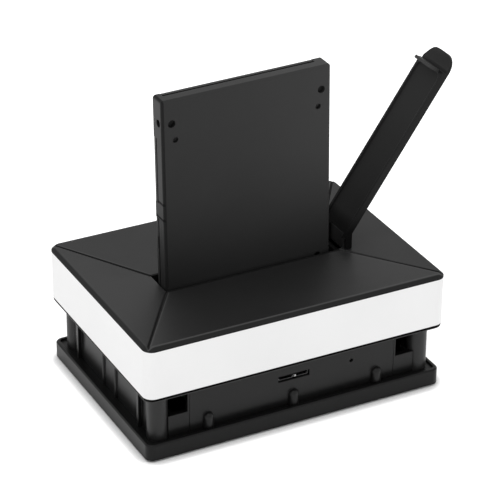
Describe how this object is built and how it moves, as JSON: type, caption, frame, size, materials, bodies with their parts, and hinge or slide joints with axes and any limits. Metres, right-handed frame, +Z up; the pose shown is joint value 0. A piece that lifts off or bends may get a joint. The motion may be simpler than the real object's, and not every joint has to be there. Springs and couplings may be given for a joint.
{
  "type": "drive_dock",
  "caption": "Desktop dock for a bare 2.5-inch drive: dished top with a slot and flip-up flap lid, light band round the sides, recessed waist with a micro data port, wide base plate; drive docked.",
  "frame": {"origin": "on the table, under the middle of the base plate: the centre of the plane of the four rubber feet", "axes": "+Z up; -Y towards the side with the port; +X towards the lid's hinge end of the slot"},
  "size_m": [0.1482, 0.089, 0.1269],
  "materials": {
    "shell_black": "fine spark-eroded texture, matt black",
    "lid_black": "smooth satin black",
    "band_white": "smooth satin white",
    "foot_rubber": "matt, slightly dusty",
    "drive_black": "fine matt powder coat",
    "screw_steel": "blackened zinc",
    "pin_steel": "ground",
    "port_steel": "nickel plated, thin",
    "connector_black": "glass-filled, matt",
    "contact_gold": "gold flash",
    "board_laminate": "solder mask over glass laminate",
    "chip_black": "moulded epoxy",
    "ceramic_tan": "fired ceramic",
    "led_clear": "clear moulded"
  },
  "bodies": {
    "dock": {"base_tray": "shell_black", "bottom_cover": "shell_black", "rubber_feet": "foot_rubber", "base_screws": "screw_steel", "right_end_wall": "shell_black", "left_end_wall": "shell_black", "port_panel": "shell_black", "rear_panel": "shell_black", "under_pan": "shell_black", "side_band": "band_white", "top_cover": "shell_black", "cover_screws": "screw_steel", "drive_guide": "shell_black", "guide_screws": "screw_steel", "circuit_board": "board_laminate", "board_screws": "screw_steel", "sata_socket": "connector_black", "sata_tails": "contact_gold", "usb_shell": "port_steel", "usb_tongues": "connector_black", "bridge_chip": "chip_black", "crystal": "port_steel", "power_coil": "chip_black", "capacitors": "ceramic_tan", "status_led": "led_clear", "light_pipe": "led_clear", "hinge_pin": "pin_steel"},
    "lid": {"lid_flap": "lid_black"},
    "drive": {"drive_case": "drive_black", "drive_cover": "drive_black", "drive_screws": "screw_steel", "drive_plug": "connector_black", "drive_contacts": "contact_gold", "drive_board": "board_laminate", "flash_chips": "chip_black", "drive_controller": "chip_black"}
  },
  "joints": [
    {"name": "drive_lift", "type": "slide", "parent": "dock", "child": "drive", "axis": [-0.0175, 0, 0.9998], "range_m": [0, 0.11]},
    {"name": "lid_hinge", "type": "hinge", "parent": "dock", "child": "lid", "pos_m": [0.0401, 0, 0.05165], "axis": [0, -1, 0], "range_deg": [0, 32]}
  ]
}
